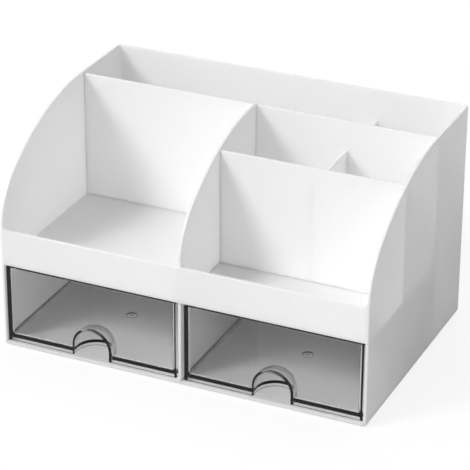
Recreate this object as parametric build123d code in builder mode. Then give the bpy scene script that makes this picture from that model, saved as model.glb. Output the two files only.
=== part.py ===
from build123d import *
from math import cos, radians, sin
import os

# Drawer storage box: a white plastic case with open compartments on top, two smoked
# clear drawers below them and four thin rubber feet. Lengths are in millimetres.
# The origin is the middle of the footprint on the table, +Z is up and the front is at -Y.

# Case
width = 240.0
depth = 160.0
case_height = 141.0
wall = 1.8
back_corner_radius = 2.4
inner_corner_radius = 1.0
bottom_edge_radius = 1.4
rim_radius = 0.4
seam = 0.1  # between two fixed pieces that are pushed together

# Side outline: an upright front edge, two arcs and a flat top
front_edge_height = 77.0
lower_arc_radius = 42.0
middle_slope = 38.0  # degrees above the horizontal where the two arcs meet

# Floor of the compartments and the band across their front
bay_height = 52.6
deck = 1.6
band_thickness = 1.8
band_rise = 1.2  # the band's top lies this far above the start of the lower arc
band_corner_radius = 3.5
peg_height = 4.0  # low tongue on the band, under the nose of the centre partition
peg_thickness = 0.9

# Upright panels; their places are measured from the front of the case
panel = 1.8
divider = 1.6
front_partition_place = 54.9
front_partition_drop = 0.5  # its top edge lies this far under the side outline
rear_partition_place = 108.3
rear_partition_drop = 1.2
centre_partition_gap = 0.6  # open slit behind the front band
divider_drop = 20.5
divider_place = 60.6  # from the middle of the case to the right

# Tabs and slots that hold the panels
tab_length = 14.0
tab_clearance = 0.1
tabs_lengthwise = 5  # under the centre partition and, in the stretches between, on the upright
tabs_per_half = 2
rear_tab_count = 4

# Base plate and the beads that hold it in the case
base = 2.2
bead_radius = 0.6
bead_length = 12.0
bead_clearance = 0.1
beads_per_side = 3

# Feet
foot_radius = 6.0
foot_proud = 1.0
foot_socket = 0.6
foot_inset = 16.0
foot_clearance = 0.15
foot_edge_radius = 0.3

# Drawers
drawer_wall = 2.0
drawer_floor = 2.0
drawer_skirt = 1.7  # the walls reach this far under the floor
drawer_recess = 1.4
drawer_side_gap = 1.1
left_drawer_play = 0.85  # share of its side gap by which the left drawer stands off centre
drawer_bottom_gap = 0.3
drawer_rear_gap = 0.6
drawer_headroom = 1.9
drawer_corner_radius = 0.6
drawer_inner_radius = 2.0
drawer_rim_radius = 0.2

# Finger hood in each drawer's front, and the round gate mark under its floor
hood_radius = 12.0
hood_wall = 1.4
hood_straight = 4.9  # from the drawer's front face to the start of the dome
hood_centre_height = 6.3  # above the drawer's lower edge
gate_place = 55.5  # behind the drawer's front face
gate_radius = 3.7
gate_depth = 1.2
gate_stub_radius = 0.9
gate_stub_length = 0.4

# Places that follow from the sizes
front = -depth / 2
back = depth / 2
bottom = foot_proud
top = bottom + case_height
base_top = bottom + base
deck_bottom = base_top + bay_height
deck_top = deck_bottom + deck
band_top = bottom + front_edge_height + band_rise
inner_side = width / 2 - wall
inner_back = back - wall
peg_back = front + band_thickness
cross_face = front + front_partition_place
rear_face = front + rear_partition_place
divider_left = divider_place - divider / 2
bay_centre = (inner_side + panel / 2) / 2
bay_width = inner_side - panel / 2

slope = radians(middle_slope)
upper_arc_rise = case_height - front_edge_height - lower_arc_radius * cos(slope)
upper_arc_radius = upper_arc_rise / (1 - cos(slope))
upper_arc_end = front + lower_arc_radius * (1 - sin(slope)) + upper_arc_radius * sin(slope)


def outline_height(y):
    """Height of the side outline above the table at a place y under its upper arc."""
    reach = upper_arc_end - y
    return top - upper_arc_radius + (upper_arc_radius**2 - reach**2) ** 0.5


def spread(low, high, count):
    """Middles of count equal stretches from low to high."""
    step = (high - low) / count
    return [low + step * (i + 0.5) for i in range(count)]


# Places of the tabs along each panel
lengthwise = spread(front + band_thickness, rear_face, tabs_lengthwise)
centre_tabs = lengthwise[0::2]
upright_tabs = lengthwise[1::2]
half_tabs = spread(panel / 2, inner_side, tabs_per_half)
deck_tabs = [-x for x in half_tabs] + half_tabs
rear_tabs = spread(-inner_side, inner_side, rear_tab_count)
mid_divider_tab = (cross_face + panel + rear_face) / 2
back_divider_tab = (rear_face + panel + inner_back) / 2
bead_places = spread(front, back, beads_per_side)


with BuildSketch(Plane.YZ) as side_outline:
    with BuildLine():
        upright = Line((front, bottom), (front, bottom + front_edge_height))
        lower_arc = JernArc(upright @ 1, (0, 1), lower_arc_radius, middle_slope - 90)
        upper_arc = JernArc(lower_arc @ 1, lower_arc % 1, upper_arc_radius, -middle_slope)
        flat_top = Line(upper_arc @ 1, (back, top))
        Polyline((back, top), (back, bottom), (front, bottom))
    make_face()

outline_edges = [upright, lower_arc, upper_arc, flat_top]
nearness = 0.01  # how close a point counts as on the outline


def on_outline(edge):
    """Whether an edge of a part lies on the upright front, the arcs or the flat top."""
    points = [edge @ share for share in (0, 0.5, 1)]
    return all(
        min(line.distance_to(Vector(point.Y, point.Z)) for line in outline_edges) < nearness
        for point in points
    )


def slot_faces(height, places, across, along):
    """Faces at a height for slots that clear tabs of a size across X and along Y."""
    with BuildSketch(Plane.XY.offset(height)) as slots:
        with Locations(*places):
            Rectangle(across + 2 * tab_clearance, along + 2 * tab_clearance)
    return slots.sketch


def tab_faces(height, places, across, along):
    """Faces at a height for tabs of a size across X and along Y."""
    with BuildSketch(Plane.XY.offset(height)) as tabs:
        with Locations(*places):
            Rectangle(across, along)
    return tabs.sketch


# Case: side walls, back wall, floor of the compartments and front band, moulded in one
with BuildPart() as body_shell:
    with BuildSketch(Plane.XY.offset(bottom)):
        Rectangle(width, depth)
        fillet(vertices().group_by(Axis.Y)[-1], back_corner_radius)
    extrude(amount=case_height)
    lower_edges = edges().group_by(Axis.Z)[0].filter_by(lambda e: e.center().Y > front + wall)
    fillet(lower_edges, bottom_edge_radius)
    with BuildSketch(Plane.XY.offset(bottom)):
        with Locations((0, -wall / 2)):
            Rectangle(2 * inner_side, depth - wall)
        fillet(vertices().group_by(Axis.Y)[-1], inner_corner_radius)
    extrude(amount=case_height, mode=Mode.SUBTRACT)
    with BuildSketch(Plane.XY.offset(deck_bottom)):
        with Locations((0, (front + rear_face) / 2)):
            Rectangle(2 * inner_side, rear_partition_place)
        with Locations(*[(x, rear_face + panel / 2) for x in deck_tabs]):
            Rectangle(tab_length, panel)
    extrude(amount=deck)
    with BuildSketch(Plane.XZ.offset(-front)):
        with BuildLine():
            left_end = (-inner_side, band_top + band_corner_radius)
            right_end = (inner_side, band_top + band_corner_radius)
            left_round = JernArc(left_end, (0, -1), band_corner_radius, 90)
            right_round = JernArc(right_end, (0, -1), band_corner_radius, -90)
            Line(left_round @ 1, right_round @ 1)
            Polyline(left_end, (-inner_side, deck_bottom), (inner_side, deck_bottom), right_end)
        make_face()
    extrude(amount=-band_thickness)
    with BuildSketch(Plane.XY.offset(band_top)):
        with Locations((0, peg_back - peg_thickness / 2)):
            Rectangle(panel, peg_thickness)
    extrude(amount=peg_height)
    extrude(side_outline.sketch, amount=width / 2, both=True, mode=Mode.INTERSECT)
    panel_slots = [(0, y) for y in centre_tabs + upright_tabs]
    extrude(slot_faces(deck_bottom, panel_slots, panel, tab_length), amount=deck, mode=Mode.SUBTRACT)
    cross_slots = [(x, cross_face + panel / 2) for x in half_tabs]
    extrude(slot_faces(deck_bottom, cross_slots, tab_length, panel), amount=deck, mode=Mode.SUBTRACT)
    divider_slot = [(divider_place, mid_divider_tab)]
    extrude(slot_faces(deck_bottom, divider_slot, divider, tab_length), amount=deck, mode=Mode.SUBTRACT)
    for side in (-1, 1):
        for y in bead_places:
            axis_plane = Plane(origin=(side * inner_side, y, bottom + base / 2), z_dir=(0, 1, 0))
            with Locations(axis_plane):
                Cylinder(
                    bead_radius + bead_clearance, bead_length + 2 * bead_clearance, mode=Mode.SUBTRACT
                )
    rim = edges().filter_by(on_outline)
    rim = rim.filter_by(lambda e: e.length > 2 * wall)
    rim = rim.filter_by(lambda e: e.center().Z > deck_top or abs(e.center().X) > inner_side + wall / 2)
    fillet(rim, rim_radius)
body_shell.part.label = "body_shell"

# Base plate: closes the case from below and shows as the low rail under the drawers
with BuildPart() as base_plate:
    with BuildSketch(Plane.XY.offset(bottom)):
        with Locations((0, -(wall + seam) / 2)):
            Rectangle(2 * (inner_side - seam), depth - wall - seam)
        fillet(vertices().group_by(Axis.Y)[-1], inner_corner_radius - seam)
    extrude(amount=base)
    upright_slots = [(0, y) for y in upright_tabs]
    extrude(slot_faces(bottom, upright_slots, panel, tab_length), amount=base, mode=Mode.SUBTRACT)
    rear_slots = [(x, rear_face + panel / 2) for x in rear_tabs]
    extrude(slot_faces(bottom, rear_slots, tab_length, panel), amount=base, mode=Mode.SUBTRACT)
    divider_slot = [(divider_place, back_divider_tab)]
    extrude(slot_faces(bottom, divider_slot, divider, tab_length), amount=base, mode=Mode.SUBTRACT)
    with BuildSketch(Plane.XY.offset(bottom)):
        with GridLocations(width - 2 * foot_inset, depth - 2 * foot_inset, 2, 2):
            Circle(foot_radius + foot_clearance)
    extrude(amount=foot_socket, mode=Mode.SUBTRACT)
    for side in (-1, 1):
        for y in bead_places:
            axis_plane = Plane(origin=(side * (inner_side - seam), y, bottom + base / 2), z_dir=(0, 1, 0))
            with Locations(axis_plane):
                Cylinder(bead_radius, bead_length)
base_plate.part.label = "base_plate"

# Upright between the two drawer bays; its front edge is the centre post
with BuildPart() as centre_upright:
    with BuildSketch(Plane.XY.offset(base_top)):
        with Locations((0, (front + rear_face - seam) / 2)):
            Rectangle(panel, rear_partition_place - seam)
    extrude(amount=bay_height)
    tab_places = [(0, y) for y in upright_tabs]
    extrude(tab_faces(deck_bottom, tab_places, panel, tab_length), amount=deck)
    extrude(tab_faces(base_top, tab_places, panel, tab_length), amount=-base)
centre_upright.part.label = "centre_upright"

# Rear partition: full width, from the base plate to just under the rim
with BuildPart() as rear_partition:
    with BuildSketch(Plane.XY.offset(base_top)):
        with Locations((0, rear_face + panel / 2)):
            Rectangle(2 * (inner_side - seam), panel)
    extrude(amount=top - rear_partition_drop - base_top)
    fillet(edges().group_by(Axis.Z)[-1].filter_by(Axis.X), rim_radius)
    tab_places = [(x, rear_face + panel / 2) for x in rear_tabs]
    extrude(tab_faces(base_top, tab_places, tab_length, panel), amount=-base)
    with BuildSketch(Plane.XZ.offset(-rear_face)):
        with Locations(*[(x, deck_bottom + deck / 2) for x in deck_tabs]):
            Rectangle(tab_length + 2 * tab_clearance, deck + 2 * tab_clearance)
    extrude(amount=-panel, mode=Mode.SUBTRACT)
rear_partition.part.label = "rear_partition"

# Centre partition: splits the compartments left and right, with the side outline's shape
with BuildPart() as centre_partition:
    extrude(side_outline.sketch, amount=panel / 2, both=True)
    split(bisect_by=Plane.XY.offset(deck_top), keep=Keep.TOP)
    split(bisect_by=Plane.XZ.offset(peg_thickness - peg_back), keep=Keep.BOTTOM)
    split(bisect_by=Plane.XZ.offset(seam - rear_face), keep=Keep.TOP)
    fillet(edges().filter_by(on_outline).filter_by(lambda e: e.length > 2 * panel), rim_radius)
    with BuildSketch(Plane.YZ):
        with Locations((peg_back + centre_partition_gap, band_top + peg_height + seam)):
            Rectangle(depth, case_height, align=Align.MAX)
    extrude(amount=panel / 2, both=True, mode=Mode.SUBTRACT)
    tab_places = [(0, y) for y in centre_tabs]
    extrude(tab_faces(deck_top, tab_places, panel, tab_length), amount=-deck)
centre_partition.part.label = "centre_partition"

# Front partition: crosses the right half only
with BuildPart() as front_partition:
    with BuildSketch(Plane.XY.offset(deck_top)):
        with Locations(((panel / 2 + inner_side) / 2, cross_face + panel / 2)):
            Rectangle(bay_width - 2 * seam, panel)
    extrude(amount=outline_height(cross_face) - front_partition_drop - deck_top)
    fillet(edges().group_by(Axis.Z)[-1].filter_by(Axis.X), rim_radius)
    tab_places = [(x, cross_face + panel / 2) for x in half_tabs]
    extrude(tab_faces(deck_top, tab_places, tab_length, panel), amount=-deck)
front_partition.part.label = "front_partition"

# Low divider between the front partition and the rear partition
with BuildPart() as mid_divider:
    with BuildSketch(Plane.XY.offset(deck_top)):
        with Locations((divider_place, mid_divider_tab)):
            Rectangle(divider, rear_face - cross_face - panel - 2 * seam)
    extrude(amount=top - divider_drop - deck_top)
    fillet(edges().group_by(Axis.Z)[-1].filter_by(Axis.Y), rim_radius)
    extrude(tab_faces(deck_top, [(divider_place, mid_divider_tab)], divider, tab_length), amount=-deck)
mid_divider.part.label = "mid_divider"

# Low divider between the rear partition and the back wall, standing on the base plate
with BuildPart() as back_divider:
    with BuildSketch(Plane.XY.offset(base_top)):
        with Locations((divider_place, back_divider_tab)):
            Rectangle(divider, inner_back - rear_face - panel - 2 * seam)
    extrude(amount=top - divider_drop - base_top)
    fillet(edges().group_by(Axis.Z)[-1].filter_by(Axis.Y), rim_radius)
    extrude(tab_faces(base_top, [(divider_place, back_divider_tab)], divider, tab_length), amount=-base)
back_divider.part.label = "back_divider"

# Drawers
drawer_front = front + drawer_recess
drawer_depth = rear_face - drawer_rear_gap - drawer_front
drawer_width = bay_width - 2 * drawer_side_gap
drawer_bottom = base_top + drawer_bottom_gap
drawer_height = deck_bottom - drawer_headroom - drawer_bottom
drawer_middle = drawer_front + drawer_depth / 2
floor_bottom = drawer_bottom + drawer_skirt
floor_top = floor_bottom + drawer_floor
hood_centre = drawer_bottom + hood_centre_height
dome_start = drawer_front + hood_straight


def arch_face(centre_x, radius, foot):
    """Arch on the drawer's front: a half circle with straight legs down to a height."""
    plane = Plane((centre_x, drawer_front, hood_centre), x_dir=(1, 0, 0), z_dir=(0, -1, 0))
    leg = hood_centre - foot
    with BuildSketch(plane) as arch:
        with BuildLine():
            ThreePointArc((-radius, 0), (0, radius), (radius, 0))
            Polyline((radius, 0), (radius, -leg), (-radius, -leg), (-radius, 0))
        make_face()
    return arch.sketch


def dome_profile(centre_x, radius, foot):
    """Half outline of the dome, which turns half way round about its upright axis."""
    plane = Plane((centre_x, dome_start, hood_centre), x_dir=(1, 0, 0), z_dir=(0, -1, 0))
    leg = hood_centre - foot
    with BuildSketch(plane) as profile:
        with BuildLine():
            CenterArc((0, 0), radius, 0, 90)
            Polyline((radius, 0), (radius, -leg), (0, -leg), (0, radius))
        make_face()
    return profile.sketch


def make_drawer(centre_x):
    """One drawer with its front, finger hood and gate mark, moulded in one."""
    dome_axis = Axis((centre_x, dome_start, 0), (0, 0, 1))
    with BuildPart() as drawer:
        with BuildSketch(Plane((centre_x, drawer_middle, drawer_bottom))):
            RectangleRounded(drawer_width, drawer_depth, drawer_corner_radius)
        extrude(amount=drawer_height)
        with BuildSketch(Plane((centre_x, drawer_middle, floor_top))):
            RectangleRounded(
                drawer_width - 2 * drawer_wall, drawer_depth - 2 * drawer_wall, drawer_inner_radius
            )
        extrude(amount=drawer_height, mode=Mode.SUBTRACT)
        floor_edges = edges().filter_by_position(Axis.Z, floor_top, floor_top)
        fillet(floor_edges, drawer_inner_radius)
        rim_edges = edges().group_by(Axis.Z)[-1]
        fillet(rim_edges, drawer_rim_radius)
        with BuildSketch(Plane((centre_x, drawer_middle, drawer_bottom))):
            Rectangle(drawer_width - 2 * drawer_wall, drawer_depth - 2 * drawer_wall)
        extrude(amount=drawer_skirt, mode=Mode.SUBTRACT)
        outer = hood_radius + hood_wall
        extrude(arch_face(centre_x, outer, drawer_bottom), amount=-hood_straight)
        revolve(dome_profile(centre_x, outer, drawer_bottom), axis=dome_axis, revolution_arc=180)
        below = drawer_bottom - drawer_bottom_gap
        extrude(arch_face(centre_x, hood_radius, below), amount=-hood_straight, mode=Mode.SUBTRACT)
        revolve(
            dome_profile(centre_x, hood_radius, below), axis=dome_axis, revolution_arc=180,
            mode=Mode.SUBTRACT,
        )
        gate = Plane((centre_x, drawer_front + gate_place, floor_bottom))
        with BuildSketch(gate):
            Circle(gate_radius)
        extrude(amount=gate_depth, mode=Mode.SUBTRACT)
        with BuildSketch(gate.offset(gate_depth)):
            Circle(gate_stub_radius)
        extrude(amount=-gate_stub_length)
    return drawer.part


drawer_left = make_drawer(-bay_centre - left_drawer_play * drawer_side_gap)
drawer_left.label = "drawer_left"
drawer_right = make_drawer(bay_centre)
drawer_right.label = "drawer_right"


def make_foot(x_side, y_side):
    """One round rubber foot, held in its socket in the base plate."""
    centre = (x_side * (width / 2 - foot_inset), y_side * (depth / 2 - foot_inset))
    with BuildPart() as foot:
        with BuildSketch():
            with Locations(centre):
                Circle(foot_radius)
        extrude(amount=foot_proud + foot_socket)
        fillet(edges().group_by(Axis.Z)[0], foot_edge_radius)
    return foot.part


feet = []
for y_side, y_name in ((-1, "front"), (1, "back")):
    for x_side, x_name in ((-1, "left"), (1, "right")):
        foot = make_foot(x_side, y_side)
        foot.label = f"foot_{y_name}_{x_name}"
        feet.append(foot)

os.makedirs("parts", exist_ok=True)
case_parts = [
    body_shell.part,
    base_plate.part,
    centre_upright.part,
    rear_partition.part,
    centre_partition.part,
    front_partition.part,
    mid_divider.part,
    back_divider.part,
]
for piece in case_parts + [drawer_left, drawer_right] + feet:
    export_step(piece, f"parts/{piece.label}.step")
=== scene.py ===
import logging
from dataclasses import dataclass
from enum import Enum
from math import cos, radians, sin
from typing import Any

import bmesh
import bpy
from mathutils import Matrix, Vector

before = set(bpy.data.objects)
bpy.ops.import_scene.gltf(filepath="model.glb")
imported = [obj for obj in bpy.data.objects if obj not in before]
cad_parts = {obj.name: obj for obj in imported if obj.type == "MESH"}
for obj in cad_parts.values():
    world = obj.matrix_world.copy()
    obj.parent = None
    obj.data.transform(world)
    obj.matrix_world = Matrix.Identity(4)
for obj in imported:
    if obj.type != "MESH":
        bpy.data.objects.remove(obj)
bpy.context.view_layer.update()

# A drawer storage box of white moulded plastic: open compartments above, two smoked
# clear drawers below, four thin rubber feet. Lengths named _mm are millimetres.

LOG = logging.getLogger("drawer_storage_box")
MM = 0.001
NOISE_DARKEST, NOISE_LIGHTEST = 0.3, 0.7  # nearly all of a noise's own values lie between
FLAT_COSINE = 0.995  # over this, rounded and plain normal agree: a face, not an edge


class Slot(str, Enum):
    """The record's material slots."""

    WHITE = "white_plastic"
    SMOKED = "smoked_plastic"
    RUBBER = "foot_rubber"


class Side(Enum):
    """The two drawer bays, with the bodies that slide in them."""

    LEFT = "drawer_left"
    RIGHT = "drawer_right"


def to_linear(colour: str) -> tuple[float, float, float, float]:
    """Turns an sRGB hex colour into the linear colour that shaders take.

    Args:
        colour: the colour as "#RRGGBB".

    Returns:
        Linear red, green, blue and an alpha of 1.
    """
    channels = [int(colour[i:i + 2], 16) / 255 for i in (1, 3, 5)]
    red, green, blue = [
        c / 12.92 if c <= 0.04045 else ((c + 0.055) / 1.055) ** 2.4 for c in channels
    ]
    return red, green, blue, 1.0


def per_metre(size_mm: float) -> float:
    """Scale of a pattern on object coordinates that repeats about every size_mm."""
    return 1 / (size_mm * MM)


def add_node(
    tree: bpy.types.NodeTree,
    kind: str,
    settings: dict[str | int, Any] | None = None,
    links: dict[str | int, bpy.types.NodeSocket] | None = None,
) -> bpy.types.Node:
    """Adds one node to a node tree.

    Args:
        tree: the tree that gets the node.
        kind: the node's type name.
        settings: values by input name, input number or property name.
        links: output sockets by the input name or number that each feeds.

    Returns:
        The new node.
    """
    node = tree.nodes.new(kind)
    for name, value in (settings or {}).items():
        if isinstance(name, int) or name in node.inputs:
            node.inputs[name].default_value = value
        else:
            setattr(node, name, value)
    for name, source in (links or {}).items():
        tree.links.new(source, node.inputs[name])
    return node


def empty_material(name: str) -> bpy.types.Material:
    """Makes a material whose node tree holds nothing yet.

    Args:
        name: the material's name.

    Returns:
        The material.
    """
    material = bpy.data.materials.new(name)
    material.use_nodes = True
    material.node_tree.nodes.clear()
    return material


def drawn_noise(
    tree: bpy.types.NodeTree, size_mm: float, low: float, high: float, detail: float = 2.0
) -> bpy.types.NodeSocket:
    """Adds a noise on object coordinates that runs from low to high.

    Args:
        tree: the material's node tree.
        size_mm: about how far apart the noise's light spots lie.
        low: the value in the noise's dark spots.
        high: the value in its light spots.
        detail: how many finer layers lie on the first.

    Returns:
        The socket with the noise's value.
    """
    place = add_node(tree, "ShaderNodeTexCoord")
    noise = add_node(
        tree,
        "ShaderNodeTexNoise",
        {"Scale": per_metre(size_mm), "Detail": detail},
        {"Vector": place.outputs["Object"]},
    )
    ranged = add_node(
        tree,
        "ShaderNodeMapRange",
        {"From Min": NOISE_DARKEST, "From Max": NOISE_LIGHTEST, "To Min": low, "To Max": high},
        {"Value": noise.outputs["Fac"]},
    )
    return ranged.outputs["Result"]


def rubbed_edges(
    tree: bpy.types.NodeTree, rounded: bpy.types.Node, full: float
) -> bpy.types.NodeSocket:
    """Adds what finds the edges that handling has rubbed.

    Args:
        tree: the material's node tree.
        rounded: the bevel node that rounds the edges.
        full: the cosine between the rounded and the plain normal where the wear is full.

    Returns:
        A socket that is 0 on a face and rises to 1 along an edge.
    """
    plain = add_node(tree, "ShaderNodeNewGeometry")
    facing = add_node(
        tree,
        "ShaderNodeVectorMath",
        {"operation": "DOT_PRODUCT"},
        {0: rounded.outputs["Normal"], 1: plain.outputs["Normal"]},
    )
    edge = add_node(
        tree,
        "ShaderNodeMapRange",
        {"From Min": FLAT_COSINE, "From Max": full, "To Min": 0.0, "To Max": 1.0},
        {"Value": facing.outputs["Value"]},
    )
    return edge.outputs["Result"]


@dataclass(frozen=True)
class WhitePolystyrene:
    """White polystyrene with a little light in it, moulded in a satin steel mould."""

    name: str = "moulded_white_polystyrene"
    colour: str = "#FDFDFD"
    worn_colour: str = "#F8F8F8"
    roughness_low: float = 0.36
    roughness_high: float = 0.46
    edge_roughness: float = 0.3
    full_wear: float = 0.75
    ior: float = 1.59
    scattered_share: float = 0.65
    free_path_mm: float = 5.5
    path_by_channel: tuple[float, float, float] = (0.98, 0.99, 1.0)
    edge_radius_mm: float = 0.3
    edge_samples: int = 6
    grain_mm: float = 1.2
    grain_layers: float = 3.0
    grain_depth_mm: float = 0.004
    grain_strength: float = 0.6
    flow_mm: float = 45.0
    flow_wear: float = 0.35
    satin_mm: float = 11.25

    def material(self) -> bpy.types.Material:
        """Builds the node tree.

        Returns:
            The material.
        """
        # A third of the light turns back at the skin. The rest wanders in the pigment,
        # further than a wall is thick, so a wall glows where its far side is lit and
        # shadows have soft edges.
        material = empty_material(self.name)
        tree = material.node_tree
        rounded = add_node(
            tree,
            "ShaderNodeBevel",
            {"Radius": self.edge_radius_mm * MM, "samples": self.edge_samples},
        )
        # Edges are polished by handling: a little smoother and a little greyer.
        edge = rubbed_edges(tree, rounded, self.full_wear)
        # Cooling melt leaves very faint broad clouds in the white.
        flow = drawn_noise(tree, self.flow_mm, 0.0, self.flow_wear)
        wear = add_node(
            tree,
            "ShaderNodeMath",
            {"operation": "MAXIMUM"},
            {0: edge, 1: flow},
        )
        colour = add_node(
            tree,
            "ShaderNodeMix",
            {"data_type": "RGBA", 6: to_linear(self.colour), 7: to_linear(self.worn_colour)},
            {0: wear.outputs["Value"]},
        )
        satin = drawn_noise(tree, self.satin_mm, self.roughness_low, self.roughness_high)
        roughness = add_node(
            tree,
            "ShaderNodeMix",
            {"data_type": "FLOAT", 3: self.edge_roughness},
            {0: edge, 2: satin},
        )
        # The mould's satin grain is finer than a tenth of a millimetre. It is drawn at
        # grain_mm, about two pixels wide, so that it still breaks up the gloss.
        grain = drawn_noise(tree, self.grain_mm, 0.0, 1.0, self.grain_layers)
        bump = add_node(
            tree,
            "ShaderNodeBump",
            {"Strength": self.grain_strength, "Distance": self.grain_depth_mm * MM},
            {"Height": grain, "Normal": rounded.outputs["Normal"]},
        )
        surface = add_node(
            tree,
            "ShaderNodeBsdfPrincipled",
            {
                "IOR": self.ior,
                "Subsurface Weight": self.scattered_share,
                "Subsurface Radius": self.path_by_channel,
                "Subsurface Scale": self.free_path_mm * MM,
            },
            {
                "Base Color": colour.outputs[2],
                "Roughness": roughness.outputs[0],
                "Normal": bump.outputs["Normal"],
            },
        )
        add_node(tree, "ShaderNodeOutputMaterial", links={"Surface": surface.outputs[0]})
        return material


@dataclass(frozen=True)
class SmokedPolystyrene:
    """Clear polystyrene tinted grey, moulded in a polished mould."""

    name: str = "polished_smoked_polystyrene"
    clear_colour: str = "#FBFBFB"
    streaked_colour: str = "#F7F7F7"
    reflection_colour: str = "#ACACAC"
    dye_colour: str = "#969696"
    absorption_per_mm: float = 0.005
    roughness_low: float = 0.01
    roughness_high: float = 0.05
    edge_roughness: float = 0.1
    full_wear: float = 0.75
    ior: float = 1.59
    streak_mm: float = 30.0
    polish_mm: float = 7.0
    wave_mm: float = 14.0
    wave_layers: float = 1.0
    wave_depth_mm: float = 0.006
    wave_strength: float = 1.0
    edge_radius_mm: float = 0.25
    edge_samples: int = 4

    def material(self) -> bpy.types.Material:
        """Builds the node tree.

        Returns:
            The material.
        """
        # Dye darkens with every wall and every millimetre that light crosses: one wall is
        # light grey, while an edge seen from its end is nearly black. Much of an edge's
        # light has bounced inside the wall, so the tint on reflections darkens it too.
        material = empty_material(self.name)
        tree = material.node_tree
        rounded = add_node(
            tree,
            "ShaderNodeBevel",
            {"Radius": self.edge_radius_mm * MM, "samples": self.edge_samples},
        )
        # The skin follows the melt in slow waves that bend the reflections a little.
        wave = drawn_noise(tree, self.wave_mm, 0.0, 1.0, self.wave_layers)
        bump = add_node(
            tree,
            "ShaderNodeBump",
            {"Strength": self.wave_strength, "Distance": self.wave_depth_mm * MM},
            {"Height": wave, "Normal": rounded.outputs["Normal"]},
        )
        # The dye isn't quite evenly mixed, and handling has dulled the edges.
        colour = add_node(
            tree,
            "ShaderNodeMix",
            {
                "data_type": "RGBA",
                6: to_linear(self.clear_colour),
                7: to_linear(self.streaked_colour),
            },
            {0: drawn_noise(tree, self.streak_mm, 0.0, 1.0)},
        )
        polish = drawn_noise(tree, self.polish_mm, self.roughness_low, self.roughness_high)
        roughness = add_node(
            tree,
            "ShaderNodeMix",
            {"data_type": "FLOAT", 3: self.edge_roughness},
            {0: rubbed_edges(tree, rounded, self.full_wear), 2: polish},
        )
        surface = add_node(
            tree,
            "ShaderNodeBsdfPrincipled",
            {
                "Specular Tint": to_linear(self.reflection_colour),
                "IOR": self.ior,
                "Transmission Weight": 1.0,
            },
            {
                "Base Color": colour.outputs[2],
                "Roughness": roughness.outputs[0],
                "Normal": bump.outputs["Normal"],
            },
        )
        # Rays on their way to a lamp, or off a matt surface, cross the skin unbent.
        # The mass still takes its share of them.
        path = add_node(tree, "ShaderNodeLightPath")
        unbent = add_node(tree, "ShaderNodeBsdfTransparent")
        shadow = add_node(
            tree,
            "ShaderNodeMixShader",
            links={0: path.outputs["Is Shadow Ray"], 1: surface.outputs[0], 2: unbent.outputs[0]},
        )
        scattered = add_node(
            tree,
            "ShaderNodeMixShader",
            links={0: path.outputs["Is Diffuse Ray"], 1: shadow.outputs[0], 2: unbent.outputs[0]},
        )
        # A metre of it absorbs the density times what the colour lacks to white.
        dye = to_linear(self.dye_colour)
        inside = add_node(
            tree,
            "ShaderNodeVolumeAbsorption",
            {"Color": dye, "Density": self.absorption_per_mm / MM / (1 - dye[0])},
        )
        add_node(
            tree,
            "ShaderNodeOutputMaterial",
            links={"Surface": scattered.outputs[0], "Volume": inside.outputs[0]},
        )
        return material


@dataclass(frozen=True)
class SiliconeRubber:
    """Grey silicone rubber, die cut from a matt sheet."""

    name: str = "matt_silicone_rubber"
    colour: str = "#A6A7A8"
    dusty_colour: str = "#B7B8B8"
    roughness_low: float = 0.7
    roughness_high: float = 0.85
    ior: float = 1.41
    grain_mm: float = 0.8
    grain_depth_mm: float = 0.02
    grain_strength: float = 0.8
    dust_mm: float = 2.4
    dust_layers: float = 4.0

    def material(self) -> bpy.types.Material:
        """Builds the node tree.

        Returns:
            The material.
        """
        # Matt and slightly dusty, so it takes no highlight.
        material = empty_material(self.name)
        tree = material.node_tree
        dust = drawn_noise(tree, self.dust_mm, 0.0, 1.0, self.dust_layers)
        colour = add_node(
            tree,
            "ShaderNodeMix",
            {"data_type": "RGBA", 6: to_linear(self.colour), 7: to_linear(self.dusty_colour)},
            {0: dust},
        )
        grain = drawn_noise(tree, self.grain_mm, 0.0, 1.0)
        bump = add_node(
            tree,
            "ShaderNodeBump",
            {"Strength": self.grain_strength, "Distance": self.grain_depth_mm * MM},
            {"Height": grain},
        )
        surface = add_node(
            tree,
            "ShaderNodeBsdfPrincipled",
            {"IOR": self.ior},
            {
                "Base Color": colour.outputs[2],
                "Roughness": drawn_noise(
                    tree, self.grain_mm, self.roughness_low, self.roughness_high
                ),
                "Normal": bump.outputs["Normal"],
            },
        )
        add_node(tree, "ShaderNodeOutputMaterial", links={"Surface": surface.outputs[0]})
        return material


def dress(nodes: tuple[str, ...], material: bpy.types.Material) -> None:
    """Gives CAD nodes a material and logs which material each one gets.

    Args:
        nodes: the nodes' names.
        material: the material that they get.
    """
    for name in nodes:
        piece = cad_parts[name]
        piece.data.materials.clear()
        piece.data.materials.append(material)
        LOG.info("%s: %s", name, material.name)


@dataclass
class Case:
    """The moulded shell, its base plate and the upright between the drawer bays."""

    nodes: tuple[str, ...] = ("body_shell", "base_plate", "centre_upright")

    def build(self, white: bpy.types.Material) -> None:
        """Dresses the case's nodes in the white plastic."""
        dress(self.nodes, white)


@dataclass
class Partitions:
    """The five panels that part the compartments."""

    nodes: tuple[str, ...] = (
        "rear_partition",
        "centre_partition",
        "front_partition",
        "mid_divider",
        "back_divider",
    )

    def build(self, white: bpy.types.Material) -> None:
        """Dresses the panels in the white plastic."""
        dress(self.nodes, white)


@dataclass
class Drawer:
    """One smoked clear drawer."""

    side: Side

    def build(self, smoked: bpy.types.Material) -> None:
        """Dresses the drawer in the smoked plastic."""
        dress((self.side.value,), smoked)


@dataclass
class Feet:
    """The four rubber feet."""

    nodes: tuple[str, ...] = (
        "foot_front_left",
        "foot_front_right",
        "foot_back_left",
        "foot_back_right",
    )

    def build(self, rubber: bpy.types.Material) -> None:
        """Dresses the feet in the rubber."""
        dress(self.nodes, rubber)


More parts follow.
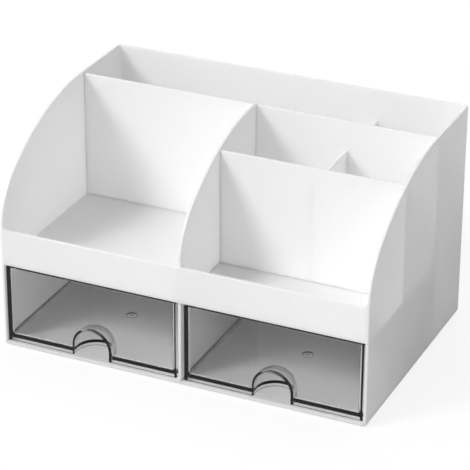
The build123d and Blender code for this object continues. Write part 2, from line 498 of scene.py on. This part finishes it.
@dataclass(frozen=True)
class SoftPanel:
    """One softbox of the room: a glow in the world that fades away from its middle."""

    name: str
    towards: tuple[float, float, float]
    strength: float
    fall_off: float


@dataclass
class Studio:
    """White paper floor, soft panels round the box and one large key light."""

    floor_radius_mm: float = 2600.0
    floor_sides: int = 96
    floor_colour: str = "#D0D0D0"
    floor_own_share: float = 0.65
    floor_white: float = 1.27
    room_white: float = 1.0
    panels: tuple[SoftPanel, ...] = (
        SoftPanel("left", (-1.0, 0.0, 0.0), 1.1, 2.0),
        SoftPanel("right", (1.0, 0.0, 0.0), 0.11, 2.0),
        SoftPanel("behind", (0.0, 1.0, 0.0), 0.5, 2.0),
        SoftPanel("front", (0.0, -1.0, 0.0), 0.88, 2.0),
        SoftPanel("high_behind", (0.0, 0.5, 0.866), 1.5, 10.0),
    )
    matt_bounces: int = 24
    key_strength: float = 1.55
    key_angle: float = 20.0
    key_azimuth: float = -40.0
    key_elevation: float = 38.0

    def build(self) -> None:
        """Makes the floor, the soft panels and the key light."""
        self.make_floor()
        self.light_room()
        self.hang_key_light()
        # Between white walls light is still strong after the usual four bounces.
        cycles = bpy.context.scene.cycles
        cycles.max_bounces = cycles.diffuse_bounces = self.matt_bounces

    def make_floor(self) -> None:
        """Makes the round floor that the box stands on."""
        mesh = bpy.data.meshes.new("studio_floor")
        outline = bmesh.new()
        bmesh.ops.create_circle(
            outline, cap_ends=True, segments=self.floor_sides, radius=self.floor_radius_mm * MM
        )
        outline.to_mesh(mesh)
        outline.free()
        floor = bpy.data.objects.new("studio_floor", mesh)
        bpy.context.scene.collection.objects.link(floor)
        mesh.materials.append(self.floor_material())
        LOG.info("studio floor")

    def floor_material(self) -> bpy.types.Material:
        """Builds the floor's paper: the eye sees it white, with a light shadow.

        Returns:
            The material.
        """
        material = empty_material("white_background_paper")
        tree = material.node_tree
        paper = add_node(
            tree, "ShaderNodeBsdfDiffuse", {"Color": to_linear(self.floor_colour)}
        )
        # The paper's own part and this one add up to white where no shadow lies.
        white = add_node(tree, "ShaderNodeEmission", {"Strength": self.floor_white})
        share = add_node(
            tree,
            "ShaderNodeMath",
            {"operation": "MULTIPLY", 1: self.floor_own_share},
            {0: seen_directly(tree)},
        )
        mixed = add_node(
            tree,
            "ShaderNodeMixShader",
            links={0: share.outputs[0], 1: paper.outputs[0], 2: white.outputs[0]},
        )
        add_node(tree, "ShaderNodeOutputMaterial", links={"Surface": mixed.outputs[0]})
        return material

    def panel_glow(
        self, tree: bpy.types.NodeTree, place: bpy.types.NodeSocket, panel: SoftPanel
    ) -> bpy.types.NodeSocket:
        """Adds one panel's glow to the world's node tree.

        Args:
            tree: the world's node tree.
            place: the direction that a ray goes in.
            panel: the panel.

        Returns:
            The socket with the panel's strength in that direction.
        """
        along = add_node(
            tree,
            "ShaderNodeVectorMath",
            {"operation": "DOT_PRODUCT", 1: panel.towards},
            {0: place},
        )
        before_it = add_node(
            tree,
            "ShaderNodeMath",
            {"operation": "MAXIMUM", 1: 0.0},
            {0: along.outputs["Value"]},
        )
        faded = add_node(
            tree,
            "ShaderNodeMath",
            {"operation": "POWER", 1: panel.fall_off},
            {0: before_it.outputs[0]},
        )
        glow = add_node(
            tree,
            "ShaderNodeMath",
            {"operation": "MULTIPLY", 1: panel.strength},
            {0: faded.outputs[0]},
        )
        return glow.outputs[0]

    def light_room(self) -> None:
        """Fills the world: white to the eye, and the soft panels' light on the box."""
        world = bpy.data.worlds.new("studio_room")
        bpy.context.scene.world = world
        world.use_nodes = True
        tree = world.node_tree
        tree.nodes.clear()
        place = add_node(tree, "ShaderNodeTexCoord").outputs["Generated"]
        panels = [self.panel_glow(tree, place, panel) for panel in self.panels]
        total = panels[0]
        for glow in panels[1:]:
            total = add_node(
                tree, "ShaderNodeMath", {"operation": "ADD"}, {0: total, 1: glow}
            ).outputs[0]
        strength = add_node(
            tree,
            "ShaderNodeMix",
            {"data_type": "FLOAT", 3: self.room_white},
            {0: seen_directly(tree), 2: total},
        )
        room = add_node(
            tree,
            "ShaderNodeBackground",
            {"Color": (1.0, 1.0, 1.0, 1.0)},
            {"Strength": strength.outputs[0]},
        )
        add_node(tree, "ShaderNodeOutputWorld", links={"Surface": room.outputs[0]})

    def hang_key_light(self) -> None:
        """Adds the key light from the front left, wide enough for soft shadows."""
        lamp = bpy.data.lights.new("key_light", "SUN")
        lamp.energy = self.key_strength
        lamp.angle = radians(self.key_angle)
        holder = bpy.data.objects.new("key_light", lamp)
        bpy.context.scene.collection.objects.link(holder)
        azimuth = radians(self.key_azimuth)
        elevation = radians(self.key_elevation)
        towards_lamp = Vector(
            (sin(azimuth) * cos(elevation), -cos(azimuth) * cos(elevation), sin(elevation))
        )
        holder.rotation_euler = towards_lamp.to_track_quat("Z", "Y").to_euler()


def seen_directly(tree: bpy.types.NodeTree) -> bpy.types.NodeSocket:
    """Adds what tells rays from the eye, a mirror or glass from rays off a matt surface.

    Args:
        tree: the node tree of the floor or the world.

    Returns:
        A socket that is 1 for camera, glossy and transmitted rays, and otherwise 0.
    """
    path = add_node(tree, "ShaderNodeLightPath")
    shiny = add_node(
        tree,
        "ShaderNodeMath",
        {"operation": "MAXIMUM"},
        {0: path.outputs["Is Glossy Ray"], 1: path.outputs["Is Transmission Ray"]},
    )
    any_of_them = add_node(
        tree,
        "ShaderNodeMath",
        {"operation": "MAXIMUM"},
        {0: path.outputs["Is Camera Ray"], 1: shiny.outputs[0]},
    )
    return any_of_them.outputs[0]


@dataclass
class StillCamera:
    """The camera at the photograph's viewing angle."""

    place_mm: tuple[float, float, float] = (541.66, -1194.73, 716.21)
    azimuth: float = 24.402
    elevation: float = 26.413
    roll: float = 0.211
    lens_mm: float = 182.2
    sensor_mm: float = 36.0

    def build(self) -> None:
        """Places the camera and makes it the scene's."""
        azimuth = radians(self.azimuth)
        elevation = radians(self.elevation)
        back = Vector(
            (sin(azimuth) * cos(elevation), -cos(azimuth) * cos(elevation), sin(elevation))
        )
        right = Vector((cos(azimuth), sin(azimuth), 0.0))
        level = Matrix((right, back.cross(right), back)).transposed().to_4x4()
        data = bpy.data.cameras.new("still_camera")
        data.lens = self.lens_mm
        data.sensor_width = self.sensor_mm
        camera = bpy.data.objects.new("still_camera", data)
        bpy.context.scene.collection.objects.link(camera)
        place = Matrix.Translation([v * MM for v in self.place_mm])
        camera.matrix_world = place @ level @ Matrix.Rotation(radians(self.roll), 4, "Z")
        bpy.context.scene.camera = camera


def main() -> None:
    """Builds the studio, the camera and each sub-assembly in order."""
    logging.basicConfig(level=logging.INFO, format="%(name)s %(message)s")
    bpy.context.scene.view_settings.view_transform = "Standard"
    Studio().build()
    StillCamera().build()
    white = WhitePolystyrene().material()
    smoked = SmokedPolystyrene().material()
    Case().build(white)
    Partitions().build(white)
    for side in Side:
        Drawer(side).build(smoked)
    Feet().build(SiliconeRubber().material())


if __name__ == "__main__":
    main()
